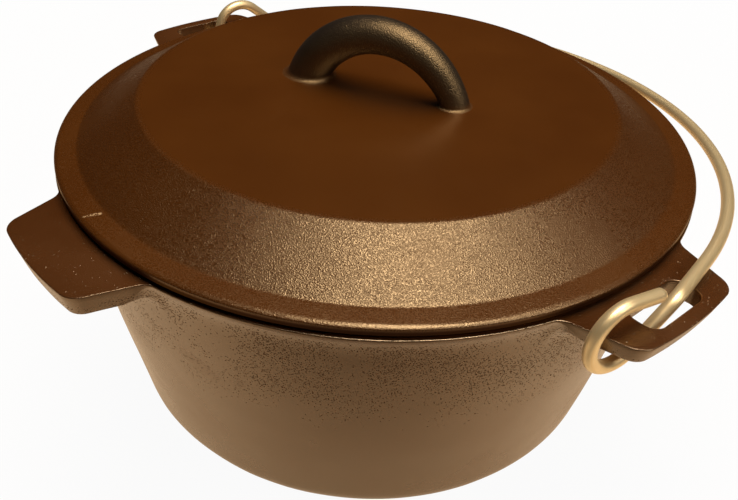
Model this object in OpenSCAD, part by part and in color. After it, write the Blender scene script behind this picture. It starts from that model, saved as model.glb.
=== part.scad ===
// Camp dutch oven: a cast pot with two ears and a tilting tab, a cast lid with a loop handle, a wire bail
// Millimetres, +Z up, origin at the centre of the flat base, +X through one of the two slotted ears

/* [Pot] */
// Height of the rim's top face above the base
pot_h = 118.2; // [80:0.2:180]
// Inner diameter of the mouth at the rim
mouth_d = 256; // [230:1:320]
// Diameter at which the wall's line meets the base plane
base_d = 223.4; // [190:0.2:232]
// Thickness of the wall, measured level
wall_t = 5; // [4:0.5:8]
// Thickness of the floor
floor_t = 6; // [4:0.5:10]
// Radius of the outer corner between wall and base
base_corner_r = 14; // [8:1:25]
// Radius of the inner corner between wall and floor
floor_corner_r = 12; // [6:1:20]

/* [Rim] */
// How far the rim stands out from the wall's line
rim_reach = 3.2; // [2:0.1:7]
// Height of the rim's upright outer edge
rim_edge_h = 2.5; // [2:0.5:6]
// Radius of the hollow sweep from the wall to the rim
rim_sweep_r = 30; // [12:1:40]
// Rounding of the rim's edges
rim_round = 1.2; // [0.5:0.1:1.8]

/* [Ears and tab] */
// How far the ears stand out from the rim
ear_reach = 23.1; // [20:0.1:28]
// How much less the solid tab stands out
tab_short = 1.5; // [0:0.1:4]
// Width of an ear along its outer edge, before its corners are rounded
ear_w = 52; // [48:1:58]
// Width of an ear where it meets the rim
ear_root_w = 66.5; // [62:0.5:72]
// Thickness of an ear
ear_t = 7; // [5:0.5:10]
// Radius of the outer corners of an ear
ear_corner_r = 8; // [4:0.5:10]
// Radius of the hollow corners where an ear runs into the rim
ear_root_r = 8; // [4:1:14]
// Radius of the hollow sweep from the wall to the underside of an ear
ear_sweep_r = 12; // [6:1:16]
// Length of the slot in an ear
slot_l = 30; // [24:1:34]
// Width of the slot in an ear
slot_w = 13; // [11:0.5:13]
// Radius of the corners of the slot
slot_corner_r = 5; // [2:0.5:5]
// Width of the bar left outside the slot
slot_margin = 5.5; // [4.5:0.25:6]

/* [Lid] */
// How far the lid reaches out past the mouth
lid_reach = 7; // [5:0.5:8]
// Width of the flat flange round the lid
flange_w = 8.7; // [6:0.1:14]
// Width of the slope from the flange in to the flat top, measured level
slope_w = 25; // [15:0.1:40]
// Rise from the flange to the flat top
lid_rise = 14.8; // [8:0.1:24]
// Height of the lid's upright edge
lid_edge_h = 4.1; // [3:0.1:6]
// Gap between the lid's edge and the rim, outside the seat
edge_gap = 1.5; // [0.8:0.1:3]
// Thickness of the lid's shell, measured upright
lid_t = 5; // [4:0.5:8]
// Rounding of the lid's upper edge
lid_round = 1.5; // [0.5:0.1:2.5]
// Rounding between the flat top and the slope
brow_r = 5; // [2:0.5:20]

/* [Lid seat] */
// Clearance under the lid's seat
seat_gap = 0.2; // [0.1:0.05:0.5]
// How far the seat reaches out over the rim from the mouth
seat_w = 4; // [2:0.5:6]
// Depth of the locating lip below the rim
lip_h = 5; // [3:0.5:12]
// Thickness of the locating lip
lip_t = 4; // [3:0.5:6]
// Clearance between the lip and the wall
lip_gap = 0.8; // [0.4:0.1:2]

/* [Lid handle] */
// Distance between the middles of the handle's feet
foot_spread = 66; // [56:1:90]
// Height of the handle's middle line above the lid at the top of the loop
handle_rise = 23.2; // [18:0.2:32]
// Diameter of the handle at its slimmer foot
handle_slim_d = 13; // [11:0.2:16]
// Diameter of the handle at its stouter foot
handle_stout_d = 18; // [14:0.2:20]
// Radius of the hollow round each foot
foot_r = 3; // [1:0.5:6]
// Direction of the slimmer foot, turned from +X
handle_turn = 27; // [0:1:360]

/* [Bail] */
// Diameter of the wire
wire_d = 5; // [4:0.25:6]
// Angle by which the resting bow is raised from level
bail_tilt = 1.6; // [0:0.1:3]
// Gap between the bail's leg and the ear that it lies on
bail_gap = 0.3; // [0.2:0.1:1]
// Least gap between a hook and the bar that it goes round
hook_gap = 1.6; // [1:0.25:3.5]
// Lean of each leg from square to the hinge line
leg_lean = 19.5; // [16:0.5:22]
// Radius of the bend from a leg into its hook
elbow_r = 8; // [6:0.5:10]
// Straight length at the end of each hook
tail_l = 13; // [6:1:14]
// Angle at which the end leaves the hook's round, from level
tail_angle = 15; // [10:1:40]

/* [Hidden] */
$fn = 64;
// Steps in each rounded corner of an outline
arc_steps = 8;
// Overlap that makes two shapes of one casting meet
sink = 1;
// Depth to which an ear's hollow rounds cut into the wall and rim
bite = 0.3;
// Steps along the wire's rounds, and sides of its section
hook_steps = 26;
elbow_steps = 6;
bow_steps = 48;
wire_sides = 16;
// Steps along the handle, and sides of its section
handle_steps = 24;
handle_sides = 24;

// Pot wall and rim
mouth_r = mouth_d / 2;
wall_r = mouth_r + wall_t;
rim_r = wall_r + rim_reach;
ear_r = rim_r + ear_reach;
base_r = base_d / 2;
taper = atan((wall_r - base_r) / pot_h);
up_wall = [sin(taper), cos(taper)];
off_wall = [cos(taper), -sin(taper)];

// Lid radii, and heights above the base
lid_r = mouth_r + lid_reach;
crease_r = lid_r - flange_w;
flat_r = crease_r - slope_w;
edge_z = pot_h + edge_gap;
flange_z = edge_z + lid_edge_h;
lid_top = flange_z + lid_rise;
lid_under = lid_top - lid_t;
lip_r = mouth_r - lip_gap - lip_h * tan(taper);

// Handle arc through both feet and the top of the loop
loop_r = (pow(foot_spread / 2, 2) + pow(handle_rise, 2)) / (2 * handle_rise);
loop_z = lid_top + handle_rise - loop_r;

// Hinge line of the bail, through the hooked end bar of each ear
slot_x = ear_r - slot_margin - slot_w / 2;
bow_r = slot_x;
side_lean = (ear_root_w - ear_w) / 2 / (ear_r - rim_r);
function ear_half(x) = ear_w / 2 + (ear_r - x) * side_lean;
bar_out = ear_half(bow_r);
bar_mid = (slot_l / 2 + bar_out) / 2;
bar_half = (bar_out - slot_l / 2) / 2;
pivot_turn = -asin(bar_mid / bow_r);
pivot_z = pot_h - ear_t / 2;

// Hooks, legs and bow of the bail, from the hinge line
hook_r = norm([bar_half + wire_d * side_lean, ear_t / 2]) + hook_gap + wire_d / 2;
bow_lift = ear_t / 2 + wire_d / 2 + bail_gap;
ear_end = bar_half + slot_l + 2 * bar_half;
leg_lift = (bow_lift - ear_end * tan(bail_tilt)) / cos(asin(ear_end / bow_r));
elbow = [bow_r, bow_r * tan(leg_lean / 2), leg_lift];
bow_corner = [0, bow_r / sin(leg_lean), 0];

// Swing from the ears, where the bail lies at rest, over to the tab on the other side
tab_far = bar_mid + ear_half(bow_r);
tab_reach = sqrt(pow(bow_r, 2) - pow(tab_far, 2));
swing = 180 - bail_tilt - asin((bow_lift + tab_far * leg_lift / bow_r) / tab_reach);
echo(pivot_turn = pivot_turn, pivot_z = pivot_z, swing = swing, hook_r = hook_r, leg_lift = leg_lift);

// Points of an arc, from one angle to another
function arc(c, r, from, to) =
    [for (i = [0 : arc_steps]) let (a = from + (to - from) * i / arc_steps) c + r * [cos(a), sin(a)]];

function unit(v) = v / norm(v);

// Corners of a rectangle with rounded corners, centred
function rounded(l, w, r) = concat(
    arc([l / 2 - r, w / 2 - r], r, 0, 90), arc([r - l / 2, w / 2 - r], r, 90, 180),
    arc([r - l / 2, r - w / 2], r, 180, 270), arc([l / 2 - r, r - w / 2], r, 270, 360));

// Wall's outer and inner radius at a height
function outer_at(z) = base_r + z * tan(taper);
function inner_at(z) = mouth_r - (pot_h - z) * tan(taper);

// Hollow sweep that leaves the wall's line and ends at a point beside it
function sweep_out(end, r) = let (
    foot = [outer_at(end.y), end.y],
    out = (end - foot) * off_wall,
    along = (end - foot) * up_wall - sqrt(2 * r * out - out * out),
    c = foot + along * up_wall + r * off_wall,
    to_end = end - c)
    arc(c, r, 180 - taper, atan2(to_end.y, to_end.x));

// Hollow sweep from the wall's line to a level underside
function sweep_under(z, r) = arc([outer_at(z - r) + r / cos(taper) - bite, z - r], r, 180 - taper, 90);

// Rounded corner where a sloping wall meets a level floor
function floor_corner(wall_foot, z, r) =
    arc([wall_foot - r * tan((90 - taper) / 2), z + r], r, -90, -taper);

// Half section of the pot, from the axis along the base, up the wall and down the inside
function pot_section() = concat(
    [[0, 0]],
    floor_corner(base_r, 0, base_corner_r),
    sweep_out([rim_r, pot_h - rim_edge_h], rim_sweep_r),
    arc([rim_r - rim_round, pot_h - rim_round], rim_round, 0, 90),
    arc([mouth_r + rim_round, pot_h - rim_round], rim_round, 90, 180 - taper),
    [for (i = [arc_steps : -1 : 0]) floor_corner(inner_at(floor_t), floor_t, floor_corner_r)[i]],
    [[0, floor_t]]);

// Half of an ear's outline seen from above, on the +X side: outer edge round the pot's axis, corner, side and root
function ear_side(s, out) = let (
    lean = atan(side_lean),
    n = [sin(lean), cos(lean)],
    d = [-cos(lean), sin(lean)],
    b = [out, ear_w / 2] - n * ear_corner_r,
    tip = b + d * along(b, d, out - ear_corner_r),
    turn = atan2(tip.y, tip.x),
    a = [out, ear_w / 2] + n * ear_root_r,
    c = a + d * along(a, d, rim_r - bite + ear_root_r),
    outline = concat(
        arc([0, 0], out, 0, turn),
        arc(tip, ear_corner_r, turn, 90 - lean),
        arc(c, ear_root_r, -90 - lean, atan2(-c.y, -c.x)),
        [unit(c) * (wall_r - wall_t / 2)]))
    [for (p = outline) [p.x, s * p.y]];

// How far along d, from a point, the distance to the axis becomes r
function along(p, d, r) = -(p * d) - sqrt(pow(p * d, 2) - p * p + r * r);

module ear_outline(out) {
    upper = ear_side(1, out);
    lower = ear_side(-1, out);
    polygon(concat(upper, [for (i = [len(lower) - 1 : -1 : 1]) lower[i]]));
}

// Section of an ear: flat top, level underside and a hollow sweep into the wall
module ear_section() {
    under = pot_h - ear_t;
    sweep = sweep_under(under, ear_sweep_r);
    inside = wall_t / 2;
    polygon(concat(
        [[outer_at(pot_h) - inside, pot_h], [sweep[0].x - inside, sweep[0].y]],
        sweep,
        [[ear_r + sink, under], [ear_r + sink, pot_h]]));
}

module ear(out) {
    depth = ear_t + ear_sweep_r + sink;
    intersection() {
        translate([0, 0, pot_h - depth]) linear_extrude(depth + sink) ear_outline(out);
        rotate([0, 0, -30]) rotate_extrude(angle = 60) ear_section();
    }
}

module slot() {
    depth = ear_t + ear_sweep_r + sink;
    translate([slot_x, 0, pot_h - depth])
        linear_extrude(depth + sink) polygon(rounded(slot_w, slot_l, slot_corner_r));
}

module pot() {
    color("#4a3622") difference() {
        union() {
            rotate_extrude() polygon(pot_section());
            for (turn = [0, 180]) rotate([0, 0, turn]) ear(ear_r);
            rotate([0, 0, 270]) ear(ear_r - tab_short);
        }
        for (turn = [0, 180]) rotate([0, 0, turn]) slot();
    }
}

// Half section of the lid, from the axis out along the top and back along the underside
function lid_section() = let (
    fall = atan(lid_rise / (crease_r - flat_r)),
    grade = tan(fall),
    lip_in = lip_r - lip_t,
    brow_back = brow_r * tan(fall / 2))
    concat(
        [[0, lid_top]],
        arc([flat_r - brow_back, lid_top - brow_r], brow_r, 90, 90 - fall),
        [[crease_r, flange_z]],
        arc([lid_r - lid_round, flange_z - lid_round], lid_round, 90, 0),
        [[lid_r, edge_z], [mouth_r + seat_w, edge_z],
         [mouth_r + seat_w, pot_h + seat_gap], [lip_r, pot_h + seat_gap],
         [lip_r, pot_h - lip_h], [lip_in, pot_h - lip_h],
         [lip_in, flange_z + (crease_r - lip_in) * grade - lid_t],
         [flat_r, lid_under], [0, lid_under]]);

// Hollow ring where the handle grows out of the lid
module foot_sweep(d) {
    r = d / 2;
    rotate_extrude() polygon(concat(
        [[0, -sink], [r + foot_r, -sink]],
        arc([r + foot_r, foot_r], foot_r, 270, 180),
        [[0, foot_r]]));
}

// Loop handle, tapered from the stouter foot to the slimmer one
module handle() {
    path = [for (i = [0 : handle_steps]) let (a = 180 * i / handle_steps) loop_r * [cos(a), 0, sin(a)]];
    widths = [for (i = [0 : handle_steps])
        handle_slim_d + (handle_stout_d - handle_slim_d) * i / handle_steps];
    translate([foot_spread / 2, 0, lid_top]) foot_sweep(handle_slim_d);
    translate([-foot_spread / 2, 0, lid_top]) foot_sweep(handle_stout_d);
    difference() {
        translate([0, 0, loop_z]) tube(path, [0, 1, 0], widths, handle_sides);
        translate([0, 0, lid_top - sink - loop_r * 2]) cylinder(r = foot_spread * 2, h = loop_r * 2);
    }
}

module lid() {
    color("#553018") union() {
        rotate_extrude() polygon(lid_section());
        rotate([0, 0, handle_turn]) handle();
    }
}

// Points of a bend of a given radius round a corner between two straight runs
function bend(from, corner, to, r, steps) = let (
    u = unit(corner - from),
    v = unit(to - corner),
    turn = acos(u * v),
    c = corner + unit(v - u) * r / cos(turn / 2),
    x = unit(corner - u * r * tan(turn / 2) - c))
    [for (i = [0 : steps]) let (a = turn * i / steps) c + r * (x * cos(a) + u * sin(a))];

// Middle line of one hook and its elbow, from the tail, with X along the hinge line and Y to the bow
function hook_path() = let (
    meet = 360 + atan2(elbow.z, elbow.y) - acos(hook_r / norm([elbow.y, elbow.z])),
    leave = 90 - tail_angle,
    round_part = [for (i = [0 : hook_steps]) let (a = leave + (meet - leave) * i / hook_steps)
        [bow_r, hook_r * cos(a), hook_r * sin(a)]],
    tail = round_part[0] + tail_l * [0, cos(tail_angle), -sin(tail_angle)])
    concat([tail], round_part, bend(round_part[hook_steps], elbow, bow_corner, elbow_r, elbow_steps));

// The same point on the other half of the bail, turned half round about the bow's own axis
function across(p) = [-p.x, p.y, -p.z];

// Middle line of the whole wire, hook to hook
function bail_path() = let (hook = hook_path(), last = len(hook) - 1) concat(
    hook,
    bend(elbow, bow_corner, across(elbow), bow_r, bow_steps),
    [for (i = [last : -1 : 0]) across(hook[i])]);

// Direction of a path at one of its points
function heading(path, i) = unit(path[min(i + 1, len(path) - 1)] - path[max(i - 1, 0)]);

// Side directions along a path, each turned as little as can be from the one before
function sides_of(path, side, i = 0) = i == len(path) ? [] : let (
    t = heading(path, i),
    s = unit(side - (side * t) * t))
    concat([s], sides_of(path, s, i + 1));

// Round bar swept along a path, with a diameter at each of its points
module tube(path, side, widths, n) {
    rings = len(path);
    x = sides_of(path, side);
    points = [for (i = [0 : rings - 1]) let (y = cross(heading(path, i), x[i]))
        for (k = [0 : n - 1]) path[i] + widths[i] / 2 * (x[i] * cos(360 * k / n) + y * sin(360 * k / n))];
    skin = [for (i = [0 : rings - 2]) for (k = [0 : n - 1])
        let (a = i * n + k, b = i * n + (k + 1) % n) each [[a, a + n, b], [b, a + n, b + n]]];
    ends = [[for (k = [0 : n - 1]) k], [for (k = [n - 1 : -1 : 0]) (rings - 1) * n + k]];
    polyhedron(points, concat(skin, ends));
}

module bail() {
    path = bail_path();
    color("#b08a4e") translate([0, 0, pivot_z]) rotate([bail_tilt, 0, pivot_turn])
        tube(path, [1, 0, 0], [for (p = path) wire_d], wire_sides);
}

pot();
lid();
bail();
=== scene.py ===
# Camp dutch oven: seasoned cast iron pot and lid, drawn wire bail, on a pale table
import bpy
import numpy as np
from mathutils import Matrix, Vector


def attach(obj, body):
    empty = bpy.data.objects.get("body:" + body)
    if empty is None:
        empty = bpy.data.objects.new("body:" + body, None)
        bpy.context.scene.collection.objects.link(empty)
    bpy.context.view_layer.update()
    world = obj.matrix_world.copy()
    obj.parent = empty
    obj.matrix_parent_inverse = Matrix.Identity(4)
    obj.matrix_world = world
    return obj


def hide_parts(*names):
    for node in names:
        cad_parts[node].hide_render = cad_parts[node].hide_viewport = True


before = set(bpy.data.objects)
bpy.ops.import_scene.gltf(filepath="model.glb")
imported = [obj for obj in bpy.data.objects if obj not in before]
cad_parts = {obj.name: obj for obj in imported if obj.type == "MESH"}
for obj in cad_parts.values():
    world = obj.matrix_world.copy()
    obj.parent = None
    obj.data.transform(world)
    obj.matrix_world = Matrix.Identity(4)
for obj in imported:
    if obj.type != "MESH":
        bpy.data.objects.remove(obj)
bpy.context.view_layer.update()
mm = 0.001
sharpTurn = np.radians(40)   # an edge that turns by more is shaded sharp
print("frame loaded:", sorted(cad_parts))


# sRGB hex to linear: below 0.04045 a straight line, above it the 2.4 power curve
def linear(hexColour):
    c = np.array([int(hexColour[i:i + 2], 16) for i in (1, 3, 5)]) / 255
    c = np.where(c <= 0.04045, c / 12.92, ((c + 0.055) / 1.055) ** 2.4)
    return (*c.tolist(), 1.0)


# one node with its settings and its inputs: an input is a value or another node's output
def addNode(tree, kind, settings=None, inputs=None):
    node = tree.nodes.new(kind)
    for key, value in (settings or {}).items():
        setattr(node, key, value)
    for key, value in (inputs or {}).items():
        if isinstance(value, bpy.types.NodeSocket):
            tree.links.new(value, node.inputs[key])
        else:
            node.inputs[key].default_value = value
    return node


# value noise from -1 to 1: hashed heights on a lattice of the given size, blended by 6t^5 - 15t^4 + 10t^3
def smoothNoise(points, size, seed):
    q = points / size
    cell = np.floor(q).astype(np.int64)
    t = q - cell
    t = t ** 3 * (t * (6 * t - 15) + 10)
    total = 0
    for corner in np.ndindex(2, 2, 2):
        at = cell + np.array(corner)
        key = (at[..., 0] * 73856093) ^ (at[..., 1] * 19349663) ^ (at[..., 2] * 83492791)
        key = key ^ (seed * 2654435761)
        height = (np.sin((key % 1000003).astype(float)) * 43758.5453) % 1
        total = total + height * np.prod(np.where(corner, t, 1 - t), axis=-1)
    return 2 * total - 1


# sum of noises of several sizes: rows of size mm, height mm, seed
def waves(points, rows):
    return sum(height * smoothNoise(points, size, seed) for size, height, seed in rows)


# 3t^2 - 2t^3 between two values
def ease(x, low, high):
    t = np.clip((x - low) / (high - low), 0, 1)
    return t * t * (3 - 2 * t)


# straight run of points from a to b
def run(a, b, count):
    return np.linspace(a, b, count)


# arc: centre plus radius times (cos, sin) of evenly spaced angles, in degrees
def arc(centre, radius, start, stop, count):
    a = np.radians(np.linspace(start, stop, count))
    return np.array(centre) + radius * np.stack([np.cos(a), np.sin(a)], -1)


# even angles once round, the last one left out because it is the first again
def fullTurn(count):
    return np.linspace(0, 2 * np.pi, count + 1)[:-1]


# joins runs into one line and drops points that repeat the one before
def chain(*runs):
    line = np.concatenate(runs)
    step = np.linalg.norm(np.diff(line, axis=0), axis=1)
    return line[np.concatenate([[True], step > 1e-6])]


# line at even steps: each coordinate interpolated over the length along the line
def evenSteps(line, step):
    length = np.concatenate([[0], np.cumsum(np.linalg.norm(np.diff(line, axis=0), axis=1))])
    s = np.linspace(0, length[-1], int(length[-1] / step))
    return np.stack([np.interp(s, length, part) for part in line.T], -1), s


# points turned about one axis: the other two coordinates u, v become u cos - v sin and u sin + v cos
def turned(points, u, v, degrees):
    c, s = np.cos(np.radians(degrees)), np.sin(np.radians(degrees))
    result = points.copy()
    result[..., u] = points[..., u] * c - points[..., v] * s
    result[..., v] = points[..., u] * s + points[..., v] * c
    return result


# normals of a grid that closes on itself along its columns: cross product of the two difference fields
def gridNormals(grid):
    down = np.gradient(grid, axis=0)
    around = np.roll(grid, -1, axis=1) - np.roll(grid, 1, axis=1)
    n = np.cross(down, around)
    return n / np.maximum(np.linalg.norm(n, axis=-1, keepdims=True), 1e-12)


# mesh of a grid of rings: quads between rings, a fan to a middle point at each end,
# faces turned to a positive volume
def ringShell(name, grid, attributes=None):
    rows, cols = grid.shape[:2]
    ids = np.arange(rows * cols).reshape(rows, cols)
    nextIds = np.roll(ids, -1, axis=1)
    quads = np.stack([ids[:-1], ids[1:], nextIds[1:], nextIds[:-1]], -1).reshape(-1, 4)
    poles = np.stack([grid[0].mean(0), grid[-1].mean(0)])
    first, last = rows * cols, rows * cols + 1
    fans = np.concatenate([
        np.stack([np.full(cols, first), ids[0], nextIds[0]], -1),
        np.stack([np.full(cols, last), nextIds[-1], ids[-1]], -1)])
    points = np.concatenate([grid.reshape(-1, 3), poles])
    tris = np.concatenate([quads[:, [0, 1, 2]], quads[:, [0, 2, 3]], fans])
    a, b, c = points[tris[:, 0]], points[tris[:, 1]], points[tris[:, 2]]
    if np.sum(np.cross(a, b) * c) < 0:
        quads, fans = quads[:, ::-1], fans[:, ::-1]
    mesh = bpy.data.meshes.new(name)
    mesh.from_pydata(points.tolist(), [], quads.tolist() + fans.tolist())
    for key, values in (attributes or {}).items():
        flat = np.concatenate([np.broadcast_to(values, (rows, cols)).ravel(), [0, 0]])
        mesh.attributes.new(key, "FLOAT", "POINT").data.foreach_set("value", flat.astype(np.float32))
    mesh.shade_smooth()
    mesh.update()
    piece = bpy.data.objects.new(name, mesh)
    bpy.context.scene.collection.objects.link(piece)
    return piece


# pot, one casting: sizes in mm, turns in degrees
pot = {
    "height": 118.0, "mouthR": 128, "wallR": 133, "baseR": 111.7, "floorT": 6, "poleR": 6,
    "baseCorner": 14, "floorCorner": 12,
    "rimR": 135.3, "rimEdge": 1.1, "rimRound": 0.5, "mouthRound": 1.2, "underRound": 0.45,
    "sweepFoot": 100.5, "sweepLead": 6.0, "rimLead": 5.5, "rimArrive": 51, "rimStep": 1.25,
    "earR": 159.3, "earW": 52, "earRootW": 66.5, "earT": 7, "earCorner": 8, "earRoot": 8, "bite": 0.3,
    "earDraft": 2.0, "earBlend": 7, "earLead": (0.87, 1.0), "earStep": 0.9,
    "tabShort": 2.3, "tabT": 8.7, "tabSpan": 45,
    "slotTurns": (0, 180), "tabTurns": (270.7,),
    "slotL": 30, "slotW": 13, "slotCorner": 5, "slotMargin": 5.5, "slotLip": 0.6, "slotOver": 4, "slotSides": 96,
    "wave": ((26, 0.16, 3), (9, 0.06, 5)), "waveFoot": 8, "waveTop": (3, 1),
}
taper = np.arctan((pot["wallR"] - pot["baseR"]) / pot["height"])


# half outline of an ear from above: outer edge on a circle about the axis, corner, leaning side,
# hollow root to the rim, given as turn and reach from the axis
def earHalf(p, out):
    lean = np.arctan((p["earRootW"] - p["earW"]) / 2 / (p["earR"] - p["rimR"]))
    side = np.array([-np.cos(lean), np.sin(lean)])
    off = np.array([np.sin(lean), np.cos(lean)])
    edge = np.array([out, p["earW"] / 2])
    onCircle = lambda a, r: a - side * (a @ side + np.sqrt((a @ side) ** 2 - a @ a + r ** 2))
    tipC = onCircle(edge - off * p["earCorner"], out - p["earCorner"])
    tipTurn = np.degrees(np.arctan2(tipC[1], tipC[0]))
    tip = arc(tipC, p["earCorner"], tipTurn, 90 - np.degrees(lean), 20)
    rootC = onCircle(edge + off * p["earRoot"], p["rimR"] - p["bite"] + p["earRoot"])
    rootTurn = np.degrees(np.arctan2(-rootC[1], -rootC[0]))
    root = arc(rootC, p["earRoot"], -90 - np.degrees(lean), rootTurn, 20)
    line, _ = evenSteps(chain(arc((0, 0), out, 0, tipTurn, 12), tip, root), p["earStep"])
    return np.arctan2(line[:, 1], line[:, 0]), np.maximum(np.hypot(line[:, 0], line[:, 1]), p["rimR"])


# turn and reach of every column of the pot: ears and tab where they stand, the rim circle between them
def potOutline(p):
    turns, reaches = [], []
    order = sorted(p["slotTurns"] + p["tabTurns"])
    halves = [earHalf(p, p["earR"] - p["tabShort"] * (here in p["tabTurns"])) for here in order]
    for k, here in enumerate(order):
        turn, reach = halves[k]
        after, afterTurn = (order + [order[0] + 360])[k + 1], (halves + halves)[k + 1][0]
        start, stop = np.radians(here) + turn[-1], np.radians(after) - afterTurn[-1]
        between = np.linspace(start, stop, int(np.degrees(stop - start) / p["rimStep"]))[1:-1]
        turns += [np.radians(here) - turn[:0:-1], np.radians(here) + turn, between]
        reaches += [reach[:0:-1], reach, np.full(len(between), p["rimR"])]
    return np.concatenate(turns), np.concatenate(reaches)


# section of the pot for every column: base, corner, wall, Bezier sweep under the rim or ear,
# rounded edge, top, inside; ear sides lean in towards the underside, and slow waves push the wall
def potSurface(p):
    turns, reach = potOutline(p)
    cols = len(turns)
    t = np.tan(taper)
    outer = lambda z: p["baseR"] + z * t
    inner = lambda z: p["mouthR"] - (p["height"] - z) * t
    shared = lambda line: np.repeat(np.array(line)[:, None, :], cols, axis=1)
    half = np.tan((np.pi / 2 - taper) / 2)
    corner = arc((p["baseR"] - p["baseCorner"] * half, p["baseCorner"]), p["baseCorner"],
                 -90, -np.degrees(taper), 12)
    foot = np.array([outer(p["sweepFoot"]), p["sweepFoot"]])
    outside = chain(run((p["poleR"], 0), (corner[0][0], 0), 12), corner, run(corner[-1], foot, 34))

    ear = ease(reach, p["rimR"], p["rimR"] + p["earBlend"])        # 0 on the rim, 1 on an ear
    onTab = np.any([np.abs(np.degrees(turns) - here) < p["tabSpan"] for here in p["tabTurns"]], axis=0)
    earThick = np.where(onTab, p["tabT"], p["earT"])
    thick = p["rimEdge"] + (earThick - p["rimEdge"]) * ear
    arrive = np.radians(p["rimArrive"]) * (1 - ear)                # slope at which the underside meets the edge
    under = p["height"] - thick
    u = p["underRound"]
    edgeC = np.stack([reach - u, under + u], -1)
    end = edgeC + u * np.stack([np.sin(arrive), -np.cos(arrive)], -1)
    lead = np.array([np.sin(taper), np.cos(taper)]) * p["sweepLead"]
    earShare, earMore = p["earLead"]
    back = p["rimLead"] * (1 - ear) + ((end[:, 0] - outer(under)) * earShare + earMore) * ear
    p1 = foot + lead
    p2 = end - back[:, None] * np.stack([np.cos(arrive), np.sin(arrive)], -1)
    s = np.linspace(0, 1, 20)[1:, None, None]
    sweep = (1 - s) ** 3 * foot + 3 * s * (1 - s) ** 2 * p1 + 3 * s ** 2 * (1 - s) * p2 + s ** 3 * end

    a = np.linspace(0, 1, 6)[1:, None] * (np.pi / 2 - arrive) - (np.pi / 2 - arrive)
    lower = edgeC + u * np.stack([np.cos(a), np.sin(a)], -1)
    r = p["rimRound"]
    rise = np.linspace(0, 1, 5)[1:, None]
    side = np.stack([np.broadcast_to(reach, (len(rise), cols)), under + u + (thick - u - r) * rise], -1)
    a = np.linspace(0, np.pi / 2, 7)[1:, None]
    upper = np.stack([reach - r + r * np.cos(a),
                      np.broadcast_to(p["height"] - r + r * np.sin(a), (len(a), cols))], -1)
    w = np.linspace(0, 1, 13)[1:, None]
    m = p["mouthRound"]
    top = np.stack([(reach - r) * (1 - w) + (p["mouthR"] + m) * w, np.full((len(w), cols), p["height"])], -1)

    brim = arc((p["mouthR"] + m, p["height"] - m), m, 90, 180 - np.degrees(taper), 7)[1:]
    bowlC = (inner(p["floorT"]) - p["floorCorner"] * half, p["floorT"] + p["floorCorner"])
    bowl = arc(bowlC, p["floorCorner"], -np.degrees(taper), -90, 9)
    inside = chain(brim, run(brim[-1], bowl[0], 18)[1:], bowl[1:],
                   run(bowl[-1], (p["poleR"], p["floorT"]), 10)[1:])

    section = np.concatenate([shared(outside), sweep, lower, side, upper, top, shared(inside)])
    grid = np.stack([section[..., 0] * np.cos(turns), section[..., 0] * np.sin(turns), section[..., 1]], -1)
    rim = np.stack([reach * np.cos(turns), reach * np.sin(turns)], -1)
    ahead = np.roll(rim, -1, axis=0) - np.roll(rim, 1, axis=0)
    outward = np.stack([ahead[:, 1], -ahead[:, 0]], -1) / np.linalg.norm(ahead, axis=1)[:, None]
    depth = np.clip((p["height"] - r - grid[..., 2]) / (earThick - r), 0, 1)
    drafted = np.zeros(len(section))
    edgeRows = slice(len(outside), len(outside) + len(sweep) + len(lower) + len(side))
    drafted[edgeRows] = np.concatenate([np.linspace(0, 1, len(sweep)) ** 2, np.ones(len(lower) + len(side))])
    inset = p["earDraft"] * depth * drafted[:, None] * ear
    grid[..., :2] -= outward * inset[..., None]
    normal = gridNormals(grid)
    outwards = -np.sign(normal[5, 0, 2])                           # the base looks down
    z = section[..., 1]
    fadeLow, fadeHigh = (p["height"] - down for down in p["waveTop"])
    quiet = ease(z, 0, p["waveFoot"]) * (1 - ease(z, fadeLow, fadeHigh))
    return (grid + normal * (waves(grid, p["wave"]) * quiet)[..., None] * outwards) * mm


# slot cutter: rounded rectangle that opens by a quarter round at the ear's two faces
def slotCutter(p, turn):
    lip = p["slotLip"]
    quarter = np.linspace(0, np.pi / 2, 6)[1:]
    d = np.concatenate([[-p["slotOver"], 0], lip * (1 - np.cos(quarter))])
    grow = np.concatenate([[lip, lip], lip - lip * np.sin(quarter)])
    z = np.concatenate([p["height"] - p["earT"] + d, (p["height"] - d)[::-1]])
    cornerR = p["slotCorner"] + np.concatenate([grow, grow[::-1]])[:, None]
    a = fullTurn(p["slotSides"])
    x = np.sign(np.cos(a)) * (p["slotW"] / 2 - p["slotCorner"]) + cornerR * np.cos(a)
    y = np.sign(np.sin(a)) * (p["slotL"] / 2 - p["slotCorner"]) + cornerR * np.sin(a)
    x = x + p["earR"] - p["slotMargin"] - p["slotW"] / 2
    grid = np.stack([x, y, np.broadcast_to(z[:, None], x.shape)], -1)
    return ringShell("slotCutter", turned(grid, 0, 1, turn) * mm)


potPiece = ringShell("potShell", potSurface(pot))
for turn in pot["slotTurns"]:
    cutter = slotCutter(pot, turn)
    cut = potPiece.modifiers.new("slot", "BOOLEAN")
    cut.operation, cut.solver, cut.object = "DIFFERENCE", "EXACT", cutter
    bpy.context.view_layer.update()
    cutPiece = potPiece.evaluated_get(bpy.context.evaluated_depsgraph_get())
    cutMesh = bpy.data.meshes.new_from_object(cutPiece)
    potPiece.modifiers.clear()
    potPiece.data = cutMesh
    bpy.data.objects.remove(cutter)
potPiece.data.shade_smooth()
potPiece.data.set_sharp_from_angle(angle=sharpTurn)
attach(potPiece, "pot")
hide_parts("pot")
print("pot:", len(potPiece.data.polygons), "faces")

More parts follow.
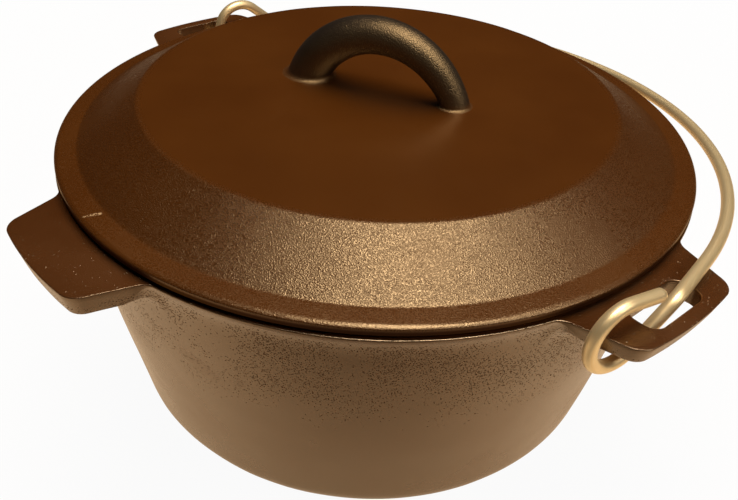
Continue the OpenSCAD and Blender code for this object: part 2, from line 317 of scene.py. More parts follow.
# lid, one casting with its handle: sizes in mm, turns in degrees
lid = {
    "r": 135, "creaseR": 126.3, "flatR": 101.3, "rise": 14.8, "edge": 4.1, "edgeZ": 119.7, "thick": 5,
    "round": 0.8, "roll": 3.2, "rollTurn": 42, "rollStart": 84, "flangeDrop": 0.6, "brow": 2.6, "crease": 2.5,
    "mouthR": 128, "seatW": 4, "seatZ": 118.4, "lipR": 126.3, "lipT": 4, "lipZ": 113.2, "underRound": 0.3,
    "poleR": 3, "columns": 600,
    "wave": ((30, 0.10, 11), (10, 0.05, 12)), "waveRows": 92, "waveFoot": 2,   # rows from the middle to the edge
}
lid["flangeZ"] = lid["edgeZ"] + lid["edge"]
lid["topZ"] = lid["flangeZ"] + lid["rise"]


# section of the lid turned round the axis: flat top, brow, slope, crease, flange that falls a little,
# rolled edge, seat, lip, underside
def lidSurface(p):
    fall = np.arctan(p["rise"] / (p["creaseR"] - p["flatR"]))
    deg = np.degrees(fall)
    topZ, underTopZ, pole = p["topZ"], p["topZ"] - p["thick"], p["poleR"]
    brow = arc((p["flatR"] - p["brow"] * np.tan(fall / 2), topZ - p["brow"]), p["brow"], 90, 90 - deg, 10)
    k = p["crease"] * np.tan(fall / 2)
    crease = arc((p["creaseR"] + k, p["flangeZ"] + p["crease"]), p["crease"], 270 - deg, 270, 6)
    turn = np.radians(90 - p["rollTurn"])
    rollR = p["r"] - p["round"] - (p["roll"] - p["round"]) * np.cos(turn)      # where the flange starts to roll over
    dropZ = p["flangeZ"] - p["flangeDrop"]
    roll = arc((rollR, dropZ - p["roll"]), p["roll"], p["rollStart"], 90 - p["rollTurn"], 8)
    nose = roll[-1] - p["round"] * np.array([np.cos(turn), np.sin(turn)])
    edge = chain(roll, arc(nose, p["round"], 90 - p["rollTurn"], 0, 6))
    low = arc((p["r"] - p["underRound"], p["edgeZ"] + p["underRound"]), p["underRound"], 0, -90, 4)
    seat = p["mouthR"] + p["seatW"]
    lipR, lipZ, seatZ, edgeZ = p["lipR"], p["lipZ"], p["seatZ"], p["edgeZ"]
    lipIn = lipR - p["lipT"]
    underSlope = p["flangeZ"] + (p["creaseR"] - lipIn) * np.tan(fall) - p["thick"]
    line = chain(
        run((pole, topZ), (brow[0][0], topZ), 46), brow, run(brow[-1], crease[0], 26), crease,
        run(crease[-1], edge[0], 6), edge, run(edge[-1], low[0], 3), low,
        run(low[-1], (seat, edgeZ), 3), run((seat, edgeZ), (seat, seatZ), 3),
        run((seat, seatZ), (lipR, seatZ), 4), run((lipR, seatZ), (lipR, lipZ), 4),
        run((lipR, lipZ), (lipIn, lipZ), 3), run((lipIn, lipZ), (lipIn, underSlope), 5),
        run((lipIn, underSlope), (p["flatR"], underTopZ), 8),
        run((p["flatR"], underTopZ), (pole, underTopZ), 12))
    turns = fullTurn(p["columns"])
    grid = np.stack([line[:, :1] * np.cos(turns), line[:, :1] * np.sin(turns),
                     np.broadcast_to(line[:, 1:], (len(line), len(turns)))], -1)
    normal = gridNormals(grid)
    normal = normal * np.sign(normal[3, 0, 2])                     # the top looks up
    upper = (np.arange(len(line)) < p["waveRows"]) * ease(line[:, 1], edgeZ, edgeZ + p["waveFoot"])
    return (grid + normal * (waves(grid, p["wave"]) * upper[:, None])[..., None]) * mm


lidPiece = ringShell("lidShell", lidSurface(lid))
lidPiece.data.set_sharp_from_angle(angle=sharpTurn)
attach(lidPiece, "lid")
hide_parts("lid")
print("lid:", len(lidPiece.data.polygons), "faces")

# loop handle, cast with the lid: sizes in mm, turn in degrees
handle = {
    "spread": 67.2, "rise": 23.2, "slim": 11.6, "stout": 19.0, "slimFoot": 0.8, "stoutFoot": 2.4, "skirt": 6,
    "sink": 0.6, "levelZ": (1, 11), "leanLeast": 0.5, "turn": 27, "rings": 120, "crowd": 1.35, "sides": 56,
    "wave": ((22, 0.22, 21), (7, 0.07, 22)), "waveZ": (1, 6),
}


# loop: rings along a circular arc that taper from foot to foot, level at the feet, where they flare by
# a quarter round; the rings crowd towards the feet by a power of the way from them
def handleSurface(p, topZ):
    loopR = ((p["spread"] / 2) ** 2 + p["rise"] ** 2) / (2 * p["rise"])
    midZ = topZ + p["rise"] - loopR
    low = np.arcsin((topZ - p["sink"] - midZ) / loopR)
    s = np.linspace(-1, 1, p["rings"])
    s = np.sign(s) * (1 - (1 - np.abs(s)) ** p["crowd"])
    a = ((np.pi / 2 - low) * -s + np.pi / 2)[::-1]                  # from the slimmer foot to the stouter
    centre = np.stack([loopR * np.cos(a), 0 * a, midZ + loopR * np.sin(a)], -1)
    h = centre[:, 2] - topZ
    radius = (p["slim"] + (p["stout"] - p["slim"]) * a / np.pi) / 2
    f = p["slimFoot"] + (p["stoutFoot"] - p["slimFoot"]) * a / np.pi
    flare = f - np.sqrt(np.maximum(f * f - np.maximum(f - np.maximum(h, 0), 0) ** 2, 0))
    flare = flare + p["skirt"] * np.maximum(-h, 0)
    level = 1 - ease(h, *p["levelZ"])
    out = np.stack([np.cos(a), 0 * a, np.sin(a)], -1)
    flat = np.stack([np.sign(np.cos(a)) / np.maximum(np.abs(np.cos(a)), p["leanLeast"]), 0 * a, 0 * a], -1)
    axis = out * (1 - level)[:, None] + flat * level[:, None]
    phi = fullTurn(p["sides"])
    wide = (radius + flare)[:, None, None]
    grid = centre[:, None] + wide * (axis[:, None] * np.cos(phi)[None, :, None]
                                     + np.array([0, 1, 0]) * np.sin(phi)[None, :, None])
    normal = grid - centre[:, None]
    normal = normal / np.linalg.norm(normal, axis=-1, keepdims=True)
    grid = grid + normal * (waves(grid, p["wave"]) * ease(h, *p["waveZ"])[:, None])[..., None]
    return turned(grid, 0, 1, p["turn"]) * mm


handlePiece = ringShell("lidHandle", handleSurface(handle, lid["topZ"]))
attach(handlePiece, "lid")
print("handle:", len(handlePiece.data.polygons), "faces")

# bail, one bent wire: sizes in mm, turns in degrees
bail = {
    "wire": 5, "bowR": 147.3, "lean": 19.5, "elbowR": 8, "tail": 15, "tailAngle": 8, "tilt": 1.6,
    "pivotTurn": -8.7403, "pivotZ": 114.7, "hookR": 12.6, "lift": 5.17875, "sag": 3.0,
    "sides": 28, "step": 1.3, "endRound": 0.7, "ringTurn": (70, 125),   # stretch where the rings' first side turns up
}


# bend of radius r round a corner between two straight runs, as points on its arc
def bend(start, corner, stop, r, count):
    u = (corner - start) / np.linalg.norm(corner - start)
    v = (stop - corner) / np.linalg.norm(stop - corner)
    turn = np.arccos(u @ v)
    across = (v - u) / np.linalg.norm(v - u)
    c = corner + across * r / np.cos(turn / 2)
    x = corner - u * r * np.tan(turn / 2) - c
    x = x / np.linalg.norm(x)
    a = np.linspace(0, turn, count)[:, None]
    return c + r * (x * np.cos(a) + u * np.sin(a))


# middle line of the wire: tail, hook circle about the hinge line, elbow, bow, and the same turned half round,
# with a sag that grows as the square of the way out along the bow
def bailPath(p):
    bow, lean = p["bowR"], np.radians(p["lean"])
    elbow = np.array([bow, bow * np.tan(lean / 2), p["lift"]])
    far = np.array([0, bow / np.sin(lean), 0])
    opposite = np.array([-1, 1, -1])
    meet = 2 * np.pi + np.arctan2(elbow[2], elbow[1]) - np.arccos(p["hookR"] / np.hypot(elbow[1], elbow[2]))
    a = np.linspace(np.radians(90 - p["tailAngle"]), meet, 90)
    hook = np.stack([0 * a + bow, p["hookR"] * np.cos(a), p["hookR"] * np.sin(a)], -1)
    away = np.radians(p["tailAngle"])
    tail = hook[0] + np.linspace(p["tail"], 0, 8)[:-1, None] * np.array([0, np.cos(away), -np.sin(away)])
    half = np.concatenate([tail, hook, bend(hook[-1], elbow, far, p["elbowR"], 16)])
    middle = bend(elbow, far, elbow * opposite, bow, 160)
    line, s = evenSteps(chain(half, middle, half[::-1] * opposite), p["step"])
    line[:, 2] -= p["sag"] * np.clip((line[:, 1] - elbow[1]) / (bow - elbow[1]), 0, 1) ** 2
    return line, s


# round wire: circles square to the path, rounded off at both cut ends; it also gives each point's way
# along and around the wire in metres
def bailSurface(p):
    path, s = bailPath(p)
    r, e = p["wire"] / 2, p["endRound"]
    t = np.gradient(path, axis=0)
    t = t / np.linalg.norm(t, axis=1, keepdims=True)
    bowPart = (ease(s, *p["ringTurn"]) * ease(s[-1] - s, *p["ringTurn"]))[:, None]
    side = np.array([1, 0, 0]) * (1 - bowPart) + np.array([0, 0, 1]) * bowPart
    side = side - np.sum(side * t, axis=1, keepdims=True) * t
    side = side / np.linalg.norm(side, axis=1, keepdims=True)
    up = np.cross(t, side)
    fromEnd = np.minimum(s, s[-1] - s)
    width = r - e + np.sqrt(np.maximum(e * e - np.maximum(e - fromEnd, 0) ** 2, 0))
    phi = fullTurn(p["sides"])
    grid = path[:, None] + width[:, None, None] * (side[:, None] * np.cos(phi)[None, :, None]
                                                   + up[:, None] * np.sin(phi)[None, :, None])
    grid = turned(turned(grid, 1, 2, p["tilt"]), 0, 1, p["pivotTurn"])
    grid[..., 2] += p["pivotZ"]
    return grid * mm, {"along": s[:, None] * mm, "around": phi[None, :] * r * mm}


bailGrid, bailMarks = bailSurface(bail)
bailPiece = ringShell("bailWire", bailGrid, bailMarks)
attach(bailPiece, "bail")
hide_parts("bail")
print("bail:", len(bailPiece.data.polygons), "faces")

# finishes: sizes and places in mm; moulding sand is about 0.3 mm, and grain, pits and crumbs are drawn coarser
# than that, so that they show
smooth = {"interpolation_type": "SMOOTHSTEP"}
rgba = {"data_type": "RGBA"}
times = {"operation": "MULTIPLY"}
larger = {"operation": "MAXIMUM"}
castLook = {"cloud": 45, "toneSpan": (0.35, 0.65), "glossSpan": (0.3, 0.7)}
potLook = {
    "dark": "#49270d", "light": "#532f13", "tint": "#ffe4be", "ior": 2.25, "rough": 0.24, "roughVary": 0.07,
    "grain": 1.0, "grainDepth": 0.08,
    # painted shade: the pits' dark brown base colour
    "pit": 0.66, "pitSize": (0.12, 0.55), "pitDepth": 0.14, "pitShade": "#33190d", "pitRough": 0.75,
    "pitRise": (58, 108), "pitEnd": (110, 115), "patch": 22, "patchSpan": (0.36, 0.56), "patchLeast": 0.08,
    "crumb": 0.85, "crumbSize": (0.05, 0.5), "crumbChance": 0.1, "crumbDepth": 0.14, "crumbZ": (117.1, 117.7),
}
lidLook = {
    "dark": "#4d2705", "light": "#532c08", "tint": "#ffe0b0", "ior": 2.0, "rough": 0.27, "roughVary": 0.01,
    "grain": 0.95, "grainDepth": 0.22, "topShare": 0.15, "flangeShare": 0.6, "edgeShare": 0.4,
    "browR": (98, 103), "creaseR": (124.5, 127.5), "edgeR": (131, 133.5),
    "topRough": 0.28, "slopeRough": 0.22, "valley": (0.4, 0.54), "valleyRough": 0.22,
    # painted shade: the slope's base colour is mixed towards this darker brown by slopeShade
    "slopeShadeColour": "#401f03", "slopeShade": 0.45,
    # painted shade on the lid's side: a dark brown base colour below sideZ, made metallic so that the side mirrors
    # dark too
    "sideShadeColour": "#3c271e", "sideZ": (120.8, 122.6), "sideRough": 0.6,
    "scratch": ((-5.2, -133.5, 123.8), (-2.8, -128.1, 123.8)), "scratchW": (0.4, 1.0),
    "scratchSpan": (0.47, 0.55), "scratchColour": "#cbaa80",
}
handleLook = {
    # partly painted shade: this near-black base was matched to the handle's shaded underside
    "dark": "#0e0d10", "light": "#151317", "tint": "#ffd9a0", "ior": 2.2, "rough": 0.44, "roughVary": 0.03,
    "grain": 1.0, "grainDepth": 0.22, "footColour": "#46250a", "footZ": (139.0, 141.6),
}


# seasoned sand-cast iron: a baked oil film over black scale, brown in the light, tan where it mirrors
# a pale table; a cloudy noise mixes two browns and varies the gloss, a fine one gives the sand's grain
def castIron(name, look):
    material = bpy.data.materials.new(name)
    material.use_nodes = True
    tree = material.node_tree
    shader = tree.nodes["Principled BSDF"]
    place = addNode(tree, "ShaderNodeTexCoord").outputs["Object"]
    cloud = addNode(tree, "ShaderNodeTexNoise", None,
                    {"Vector": place, "Scale": 1000 / castLook["cloud"], "Detail": 4.0}).outputs["Fac"]
    grain = addNode(tree, "ShaderNodeTexNoise", None,              # two noise cells to a grain
                    {"Vector": place, "Scale": 2000 / look["grain"], "Detail": 1.0}).outputs["Fac"]
    toneLow, toneHigh = castLook["toneSpan"]
    tone = addNode(tree, "ShaderNodeMapRange", None, {"Value": cloud, "From Min": toneLow, "From Max": toneHigh})
    colour = addNode(tree, "ShaderNodeMix", rgba,
                     {"Factor": tone.outputs["Result"], 6: linear(look["dark"]), 7: linear(look["light"])})
    glossLow, glossHigh = castLook["glossSpan"]
    gloss = addNode(tree, "ShaderNodeMapRange", None,
                    {"Value": cloud, "From Min": glossLow, "From Max": glossHigh,
                     "To Min": look["rough"] - look["roughVary"], "To Max": look["rough"] + look["roughVary"]})
    bump = addNode(tree, "ShaderNodeBump", None,
                   {"Height": grain, "Distance": look["grainDepth"] * mm, "Strength": 1.0})
    tree.links.new(colour.outputs[2], shader.inputs["Base Color"])
    tree.links.new(gloss.outputs["Result"], shader.inputs["Roughness"])
    tree.links.new(bump.outputs["Normal"], shader.inputs["Normal"])
    shader.inputs["IOR"].default_value = look["ior"]
    shader.inputs["Specular Tint"].default_value = linear(look["tint"])
    return {"material": material, "tree": tree, "shader": shader, "place": place, "colour": colour.outputs[2],
            "gloss": gloss.outputs["Result"], "grain": grain, "bump": bump}


# pot: dull sand pits, darkened by painted shade through a dark brown base that is metallic in them, so that they
# mirror dark too, that thicken up the wall in patches, and crumbs that sparkle on the flat tops of ears and tab; a
# Voronoi cell has its pit or crumb where its own chance says so
def potCastIron(look):
    iron = castIron("seasonedCastIronPot", look)
    tree, shader, place = iron["tree"], iron["shader"], iron["place"]
    height = addNode(tree, "ShaderNodeSeparateXYZ", None, {0: place}).outputs["Z"]
    tops, rise, belowRim = (
        addNode(tree, "ShaderNodeMapRange", smooth,
                {"Value": height, "From Min": low * mm, "From Max": high * mm, "To Min": start, "To Max": 1 - start})
        for (low, high), start in ((look["crumbZ"], 0.0), (look["pitRise"], 0.0), (look["pitEnd"], 1.0)))
    patch = addNode(tree, "ShaderNodeTexNoise", None,
                    {"Vector": place, "Scale": 1000 / look["patch"], "Detail": 3.0})
    patchy = addNode(tree, "ShaderNodeMapRange", None,
                     {"Value": patch.outputs["Fac"], "From Min": look["patchSpan"][0],
                      "From Max": look["patchSpan"][1], "To Min": look["patchLeast"]})
    amount = addNode(tree, "ShaderNodeMath", times, {0: rise.outputs[0], 1: patchy.outputs[0]})
    onWall = addNode(tree, "ShaderNodeMath", times, {0: amount.outputs[0], 1: belowRim.outputs[0]})
    spots = []
    for size, (core, edge), chance in ((look["pit"], look["pitSize"], onWall.outputs[0]),
                                       (look["crumb"], look["crumbSize"], look["crumbChance"])):
        cells = addNode(tree, "ShaderNodeTexVoronoi", None, {"Vector": place, "Scale": 1000 / size})
        draw = addNode(tree, "ShaderNodeSeparateColor", None, {0: cells.outputs["Color"]})
        there = addNode(tree, "ShaderNodeMath", {"operation": "LESS_THAN"}, {0: draw.outputs[0], 1: chance})
        bowl = addNode(tree, "ShaderNodeMapRange", smooth,
                       {"Value": cells.outputs["Distance"], "From Min": core, "From Max": edge,
                        "To Min": 1.0, "To Max": 0.0})
        spots.append(addNode(tree, "ShaderNodeMath", times, {0: bowl.outputs[0], 1: there.outputs[0]}).outputs[0])
    pits, crumbs = spots
    dull = addNode(tree, "ShaderNodeMix", None, {"Factor": pits, 2: iron["gloss"], 3: look["pitRough"]})
    sunk = addNode(tree, "ShaderNodeBump", {"invert": True},
                   {"Height": pits, "Distance": look["pitDepth"] * mm, "Normal": iron["bump"].outputs["Normal"]})
    sparkle = addNode(tree, "ShaderNodeBump", None,
                      {"Height": crumbs, "Distance": look["crumbDepth"] * mm, "Strength": tops.outputs[0],
                       "Normal": sunk.outputs["Normal"]})
    # painted shade in the pits: a dark brown base colour
    pitShaded = addNode(tree, "ShaderNodeMix", rgba,
                      {"Factor": pits, 6: iron["colour"], 7: linear(look["pitShade"])})
    tree.links.new(pitShaded.outputs[2], shader.inputs["Base Color"])
    tree.links.new(dull.outputs[0], shader.inputs["Roughness"])
    # painted shade: metallic pits, so that they mirror dark too
    tree.links.new(pits, shader.inputs["Metallic"])
    tree.links.new(sparkle.outputs["Normal"], shader.inputs["Normal"])
    return iron["material"]


# lid: nearly smooth flat top, pebbled slope darkened by painted shade, whose grain valleys are rougher than its
# crests, calmer flange, a dull side darkened by painted shade through a dark brown base that is metallic there, so
# that it mirrors dark too,
# and one bright scratch on the flange: the distance to a short line, broken up by the grain
def lidCastIron(look):
    iron = castIron("seasonedCastIronLid", look)
    tree, shader, place, grain = iron["tree"], iron["shader"], iron["place"], iron["grain"]
    level = addNode(tree, "ShaderNodeVectorMath", times, {0: place, 1: (1, 1, 0)})
    reach = addNode(tree, "ShaderNodeVectorMath", {"operation": "LENGTH"}, {0: level.outputs[0]}).outputs["Value"]
    height = addNode(tree, "ShaderNodeSeparateXYZ", None, {0: place}).outputs["Z"]
    spans = {                                                      # along what, from and to, value before and after
        "fromTop": (reach, look["browR"], look["topShare"], 1.0),
        "toFlange": (reach, look["creaseR"], 1.0, look["flangeShare"]),
        "toEdge": (reach, look["edgeR"], 0.0, look["edgeShare"]),
        "satin": (reach, look["browR"], look["topRough"], look["slopeRough"]),
        "shadeFrom": (reach, look["browR"], 0.0, look["slopeShade"]),
        "shadeTo": (reach, look["creaseR"], 1.0, 0.0),
        "sideDull": (height, look["sideZ"], look["sideRough"], 0.0),
        "aboveSideShade": (height, look["sideZ"], 0.0, 1.0),
        "sideShadeMetal": (height, look["sideZ"], 1.0, 0.0),
    }
    part = {key: addNode(tree, "ShaderNodeMapRange", smooth,
                         {"Value": value, "From Min": low * mm, "From Max": high * mm,
                          "To Min": start, "To Max": stop}).outputs["Result"]
            for key, (value, (low, high), start, stop) in spans.items()}
    pebbles = addNode(tree, "ShaderNodeMath", times, {0: part["fromTop"], 1: part["toFlange"]})
    pebbles = addNode(tree, "ShaderNodeMath", larger, {0: pebbles.outputs[0], 1: part["toEdge"]})
    tree.links.new(pebbles.outputs[0], iron["bump"].inputs["Strength"])
    satin = addNode(tree, "ShaderNodeMath", larger, {0: iron["gloss"], 1: part["satin"]})
    valley = addNode(tree, "ShaderNodeMapRange", smooth,
                     {"Value": grain, "From Min": look["valley"][0], "From Max": look["valley"][1],
                      "To Min": look["valleyRough"], "To Max": 0.0})
    pebbled = addNode(tree, "ShaderNodeMath", {"operation": "MULTIPLY_ADD"},
                      {0: valley.outputs["Result"], 1: pebbles.outputs[0], 2: satin.outputs[0]})
    dull = addNode(tree, "ShaderNodeMath", larger, {0: pebbled.outputs[0], 1: part["sideDull"]})
    # painted shade: a darker base colour across the slope, between brow and crease
    onSlope = addNode(tree, "ShaderNodeMath", times, {0: part["shadeFrom"], 1: part["shadeTo"]})
    shaded = addNode(tree, "ShaderNodeMix", rgba,
                     {"Factor": onSlope.outputs[0], 6: iron["colour"], 7: linear(look["slopeShadeColour"])})
    # painted shade: below sideZ the base colour turns dark brown, and the metallic link below makes it mirror dark
    sideShaded = addNode(tree, "ShaderNodeMix", rgba,
                    {"Factor": part["aboveSideShade"], 6: linear(look["sideShadeColour"]), 7: shaded.outputs[2]})

    start, stop = (np.array(end) * mm for end in look["scratch"])
    length = float(np.linalg.norm(stop - start))
    along = tuple((stop - start) / length)
    fromStart = addNode(tree, "ShaderNodeVectorMath", {"operation": "SUBTRACT"}, {0: place, 1: tuple(start)})
    way = addNode(tree, "ShaderNodeVectorMath", {"operation": "DOT_PRODUCT"}, {0: fromStart.outputs[0], 1: along})
    kept = addNode(tree, "ShaderNodeClamp", None, {"Value": way.outputs["Value"], "Min": 0.0, "Max": length})
    foot = addNode(tree, "ShaderNodeVectorMath", {"operation": "SCALE"}, {0: along, "Scale": kept.outputs[0]})
    gap = addNode(tree, "ShaderNodeVectorMath", {"operation": "DISTANCE"},
                  {0: fromStart.outputs[0], 1: foot.outputs[0]})
    mark = addNode(tree, "ShaderNodeMapRange", smooth,
                   {"Value": gap.outputs["Value"], "From Min": look["scratchW"][0] * mm,
                    "From Max": look["scratchW"][1] * mm, "To Min": 1.0, "To Max": 0.0})
    broken = addNode(tree, "ShaderNodeMapRange", None,
                     {"Value": grain, "From Min": look["scratchSpan"][0], "From Max": look["scratchSpan"][1]})
    scratch = addNode(tree, "ShaderNodeMath", times, {0: mark.outputs["Result"], 1: broken.outputs["Result"]})
    scored = addNode(tree, "ShaderNodeMix", rgba,
                     {"Factor": scratch.outputs[0], 6: sideShaded.outputs[2], 7: linear(look["scratchColour"])})
    tree.links.new(scored.outputs[2], shader.inputs["Base Color"])
    tree.links.new(dull.outputs[0], shader.inputs["Roughness"])
    tree.links.new(part["sideShadeMetal"], shader.inputs["Metallic"])
    return iron["material"]


# handle: near-black base, partly the handle's own darker iron and partly painted shade matched to its shaded
# underside; brown again where its foot runs into the lid
def handleCastIron(look):
    iron = castIron("seasonedCastIronHandle", look)
    tree = iron["tree"]
    height = addNode(tree, "ShaderNodeSeparateXYZ", None, {0: iron["place"]}).outputs["Z"]
    low, high = look["footZ"]
    upLoop = addNode(tree, "ShaderNodeMapRange", smooth,
                     {"Value": height, "From Min": low * mm, "From Max": high * mm})
    blended = addNode(tree, "ShaderNodeMix", rgba,
                      {"Factor": upLoop.outputs["Result"], 6: linear(look["footColour"]), 7: iron["colour"]})
    tree.links.new(blended.outputs[2], iron["shader"].inputs["Base Color"])
    return iron["material"]


# wire: lines are drawn wider than a die leaves them, so that they show
wireLook = {
    "dark": "#ffdb9a", "light": "#fff0c8", "metallic": 0.68, "rough": 0.42,
    "lineLength": 50 / 3, "lineWidth": 0.4, "lineDepth": 0.06,
}


# drawn steel wire: satin bright metal with fine lines along its length and a warm cast, a little of it
# clouded by oxide; the lines are noise stretched along the wire
def drawnWire(look):
    material = bpy.data.materials.new("drawnSteelWire")
    material.use_nodes = True
    tree = material.node_tree
    shader = tree.nodes["Principled BSDF"]
    along = addNode(tree, "ShaderNodeAttribute", {"attribute_name": "along"})
    around = addNode(tree, "ShaderNodeAttribute", {"attribute_name": "around"})
    onWire = addNode(tree, "ShaderNodeCombineXYZ", None, {"X": along.outputs["Fac"], "Y": around.outputs["Fac"]})
    stretched = addNode(tree, "ShaderNodeMapping", None,
                        {"Vector": onWire.outputs[0],
                         "Scale": (1000 / look["lineLength"], 1000 / look["lineWidth"], 1)})
    lines = addNode(tree, "ShaderNodeTexNoise", None, {"Vector": stretched.outputs[0], "Scale": 1.0, "Detail": 3.0})
    colour = addNode(tree, "ShaderNodeMix", rgba,
                     {"Factor": lines.outputs["Fac"], 6: linear(look["dark"]), 7: linear(look["light"])})
    bump = addNode(tree, "ShaderNodeBump", None,
                   {"Height": lines.outputs["Fac"], "Distance": look["lineDepth"] * mm})
    tree.links.new(colour.outputs[2], shader.inputs["Base Color"])
    tree.links.new(bump.outputs["Normal"], shader.inputs["Normal"])
    shader.inputs["Metallic"].default_value = look["metallic"]
    shader.inputs["Roughness"].default_value = look["rough"]
    return material


potPiece.data.materials.clear()
potPiece.data.materials.append(potCastIron(potLook))
lidPiece.data.materials.append(lidCastIron(lidLook))
handlePiece.data.materials.append(handleCastIron(handleLook))
bailPiece.data.materials.append(drawnWire(wireLook))
print("finishes set")

# table and light: metres and watts
studio = {
    "floorR": 12.0, "floorRings": 24, "floorSides": 96, "floorInner": 0.05,
    "floorColour": "#ecebe8", "floorRough": 0.9, "floorGlow": 0.95,
    # painted pool of light seen in mirrors: warm near the oven, dim far off
    "floorTint": "#ffdcb2", "farTint": "#3a352e", "poolR": (0.4, 1.0),
    # painted shade in the glow that mirrors see: dimmer within dimR of a line from dimSpot along dimAlong
    "dimSpot": (0.20, -0.18, 0), "dimAlong": (0.74, -0.672, 0), "dimR": (0.02, 0.22), "dimTo": 0.22,
    "lamp": (0.34, -0.03, 1.35), "lampSize": 0.62, "lampWatts": 18,
    "soft": (-0.3, 0.27, 1.35), "softSize": 1.3, "softWatts": 23,
    "fill": (1.05, 0.26, 0.9), "fillSize": 0.5, "fillWatts": 4.5,
    "lampColour": "#fff2e2", "aim": (0, 0, 0.12), "fillAim": (0, 0, 0.08), "room": "#1c1a18",
}
black, white = (0, 0, 0, 1), (1, 1, 1, 1)


# level disc of rings about the origin, their radii in a geometric row
def floorDisc(p):
    turns = fullTurn(p["floorSides"])
    r = np.geomspace(p["floorInner"], p["floorR"], p["floorRings"])[:, None]
    x, y = r * np.cos(turns), r * np.sin(turns)
    ids = np.arange(x.size).reshape(x.shape)
    nextIds = np.roll(ids, -1, axis=1)
    quads = np.stack([ids[:-1], ids[1:], nextIds[1:], nextIds[:-1]], -1).reshape(-1, 4)
    mesh = bpy.data.meshes.new("table")
    points = np.stack([x, y, 0 * x], -1).reshape(-1, 3)
    mesh.from_pydata(points.tolist(), [], quads.tolist() + [ids[0].tolist()])
    disc = bpy.data.objects.new("table", mesh)
    bpy.context.scene.collection.objects.link(disc)
    return disc


# matt white paint: lit by the lamps, so that it keeps the shadow; camera and mirrors also see a glow, plain white to
# the camera;
# in mirrors it is a painted pool of warm light near the oven that turns dim far off, with a painted shade along one
# line
def tablePaint(p):
    paint = bpy.data.materials.new("mattWhiteTable")
    paint.use_nodes = True
    tree = paint.node_tree
    paper = tree.nodes["Principled BSDF"]
    paper.inputs["Base Color"].default_value = linear(p["floorColour"])
    paper.inputs["Roughness"].default_value = p["floorRough"]
    light = addNode(tree, "ShaderNodeLightPath")
    place = addNode(tree, "ShaderNodeTexCoord").outputs["Object"]
    seen = addNode(tree, "ShaderNodeMath", larger,
                   {0: light.outputs["Is Camera Ray"], 1: light.outputs["Is Glossy Ray"]})
    seen = addNode(tree, "ShaderNodeMath", larger,
                   {0: seen.outputs[0], 1: light.outputs["Is Transmission Ray"]})
    spot = addNode(tree, "ShaderNodeVectorMath", {"operation": "LENGTH"}, {0: place})
    pool = addNode(tree, "ShaderNodeMapRange", smooth,
                   {"Value": spot.outputs["Value"], "From Min": p["poolR"][0], "From Max": p["poolR"][1]})
    whiteFar = addNode(tree, "ShaderNodeMapRange", None, {"Value": pool.outputs["Result"], "To Min": p["floorGlow"]})
    glowShare = addNode(tree, "ShaderNodeMath", times, {0: seen.outputs[0], 1: whiteFar.outputs["Result"]})
    lit = addNode(tree, "ShaderNodeMix", rgba,
                  {"Factor": pool.outputs["Result"], 6: linear(p["floorTint"]), 7: linear(p["farTint"])})
    fromSpot = addNode(tree, "ShaderNodeVectorMath", {"operation": "SUBTRACT"}, {0: place, 1: p["dimSpot"]})
    ahead = addNode(tree, "ShaderNodeVectorMath", {"operation": "DOT_PRODUCT"},
                    {0: fromSpot.outputs[0], 1: p["dimAlong"]})
    ahead = addNode(tree, "ShaderNodeMath", larger, {0: ahead.outputs["Value"], 1: 0.0})
    onLine = addNode(tree, "ShaderNodeVectorMath", {"operation": "SCALE"},
                     {0: p["dimAlong"], "Scale": ahead.outputs[0]})
    near = addNode(tree, "ShaderNodeVectorMath", {"operation": "DISTANCE"},
                   {0: fromSpot.outputs[0], 1: onLine.outputs[0]})
    dim = addNode(tree, "ShaderNodeMapRange", smooth,
                  {"Value": near.outputs["Value"], "From Min": p["dimR"][0], "From Max": p["dimR"][1],
                   "To Min": p["dimTo"], "To Max": 1.0})
    dimmed = addNode(tree, "ShaderNodeMix", rgba, {"Factor": dim.outputs["Result"], 6: black, 7: lit.outputs[2]})
    tint = addNode(tree, "ShaderNodeMix", rgba,
                   {"Factor": light.outputs["Is Camera Ray"], 6: dimmed.outputs[2], 7: white})
    glow = addNode(tree, "ShaderNodeEmission", None, {"Color": tint.outputs[2], "Strength": 1.0})
    both = addNode(tree, "ShaderNodeMixShader", None,
                   {0: glowShare.outputs[0], 1: paper.outputs[0], 2: glow.outputs[0]})
    tree.links.new(both.outputs[0], tree.nodes["Material Output"].inputs["Surface"])
    return paint


table = floorDisc(studio)
table.data.materials.append(tablePaint(studio))

world = bpy.data.worlds.new("studioWorld")
world.use_nodes = True
tree = world.node_tree
path = addNode(tree, "ShaderNodeLightPath")
backdrop = addNode(tree, "ShaderNodeMix", rgba,                    # a dim room that the camera sees as white
                   {"Factor": path.outputs["Is Camera Ray"], 6: linear(studio["room"]), 7: white})
tree.links.new(backdrop.outputs[2], tree.nodes["Background"].inputs["Color"])
bpy.context.scene.world = world


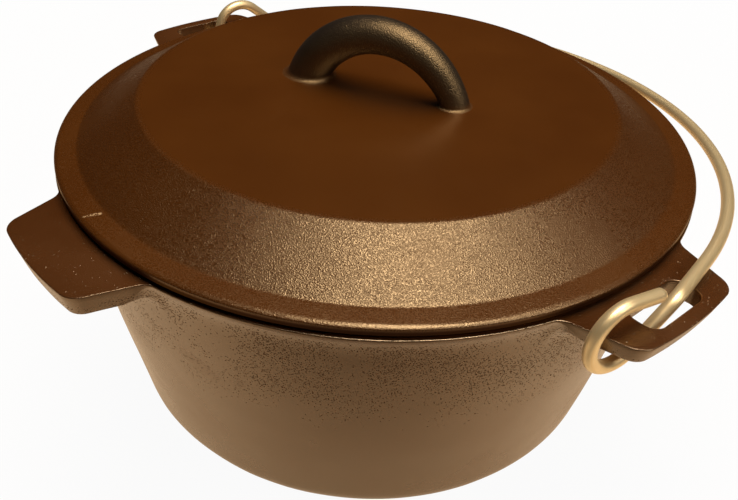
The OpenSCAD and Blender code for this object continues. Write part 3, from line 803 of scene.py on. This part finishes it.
# round soft lamp at a place, turned so that its -Z looks at a point; without shine no gloss mirrors it,
# without flood it lights gloss alone
def softLamp(name, place, aim, size, watts, shine=True, flood=True):
    data = bpy.data.lights.new(name, "AREA")
    data.shape, data.size, data.energy = "DISK", size, watts
    data.color = linear(studio["lampColour"])[:3]
    lamp = bpy.data.objects.new(name, data)
    look = (Vector(aim) - Vector(place)).to_track_quat("-Z", "Y")
    lamp.matrix_world = Matrix.Translation(place) @ look.to_matrix().to_4x4()
    lamp.visible_glossy, lamp.visible_diffuse = shine, flood
    bpy.context.scene.collection.objects.link(lamp)


softLamp("overheadLamp", studio["lamp"], studio["aim"], studio["lampSize"], studio["lampWatts"], flood=False)
softLamp("softLamp", studio["soft"], studio["aim"], studio["softSize"], studio["softWatts"], shine=False)
softLamp("fillLamp", studio["fill"], studio["fillAim"], studio["fillSize"], studio["fillWatts"])
print("table and light set")

# camera: metres, azimuth in degrees, elevation and roll in radians
view = {
    "place": (0.23102, -0.21059, 0.28408), "azimuth": 47.773, "elevation": 0.6384, "roll": 0.0567,
    "focalPixels": 787.364, "imageWidth": 738, "sensor": 36.0, "nearest": 0.01,
}
az, el, roll = np.radians(view["azimuth"]), view["elevation"], view["roll"]
forward = np.array([-np.sin(az) * np.cos(el), np.cos(az) * np.cos(el), -np.sin(el)])
level = np.array([np.cos(az), np.sin(az), 0])
over = np.cross(level, forward)
right = np.cos(roll) * level + np.sin(roll) * over
above = -np.sin(roll) * level + np.cos(roll) * over
cameraData = bpy.data.cameras.new("camera")
cameraData.sensor_width, cameraData.sensor_fit = view["sensor"], "HORIZONTAL"
cameraData.lens = view["focalPixels"] / view["imageWidth"] * view["sensor"]
cameraData.clip_start = view["nearest"]
camera = bpy.data.objects.new("camera", cameraData)
turnTo = Matrix(np.stack([right, above, -forward], 1).tolist()).to_4x4()
camera.matrix_world = Matrix.Translation(view["place"]) @ turnTo
bpy.context.scene.collection.objects.link(camera)
bpy.context.scene.camera = camera
bpy.context.scene.view_settings.view_transform = "Standard"
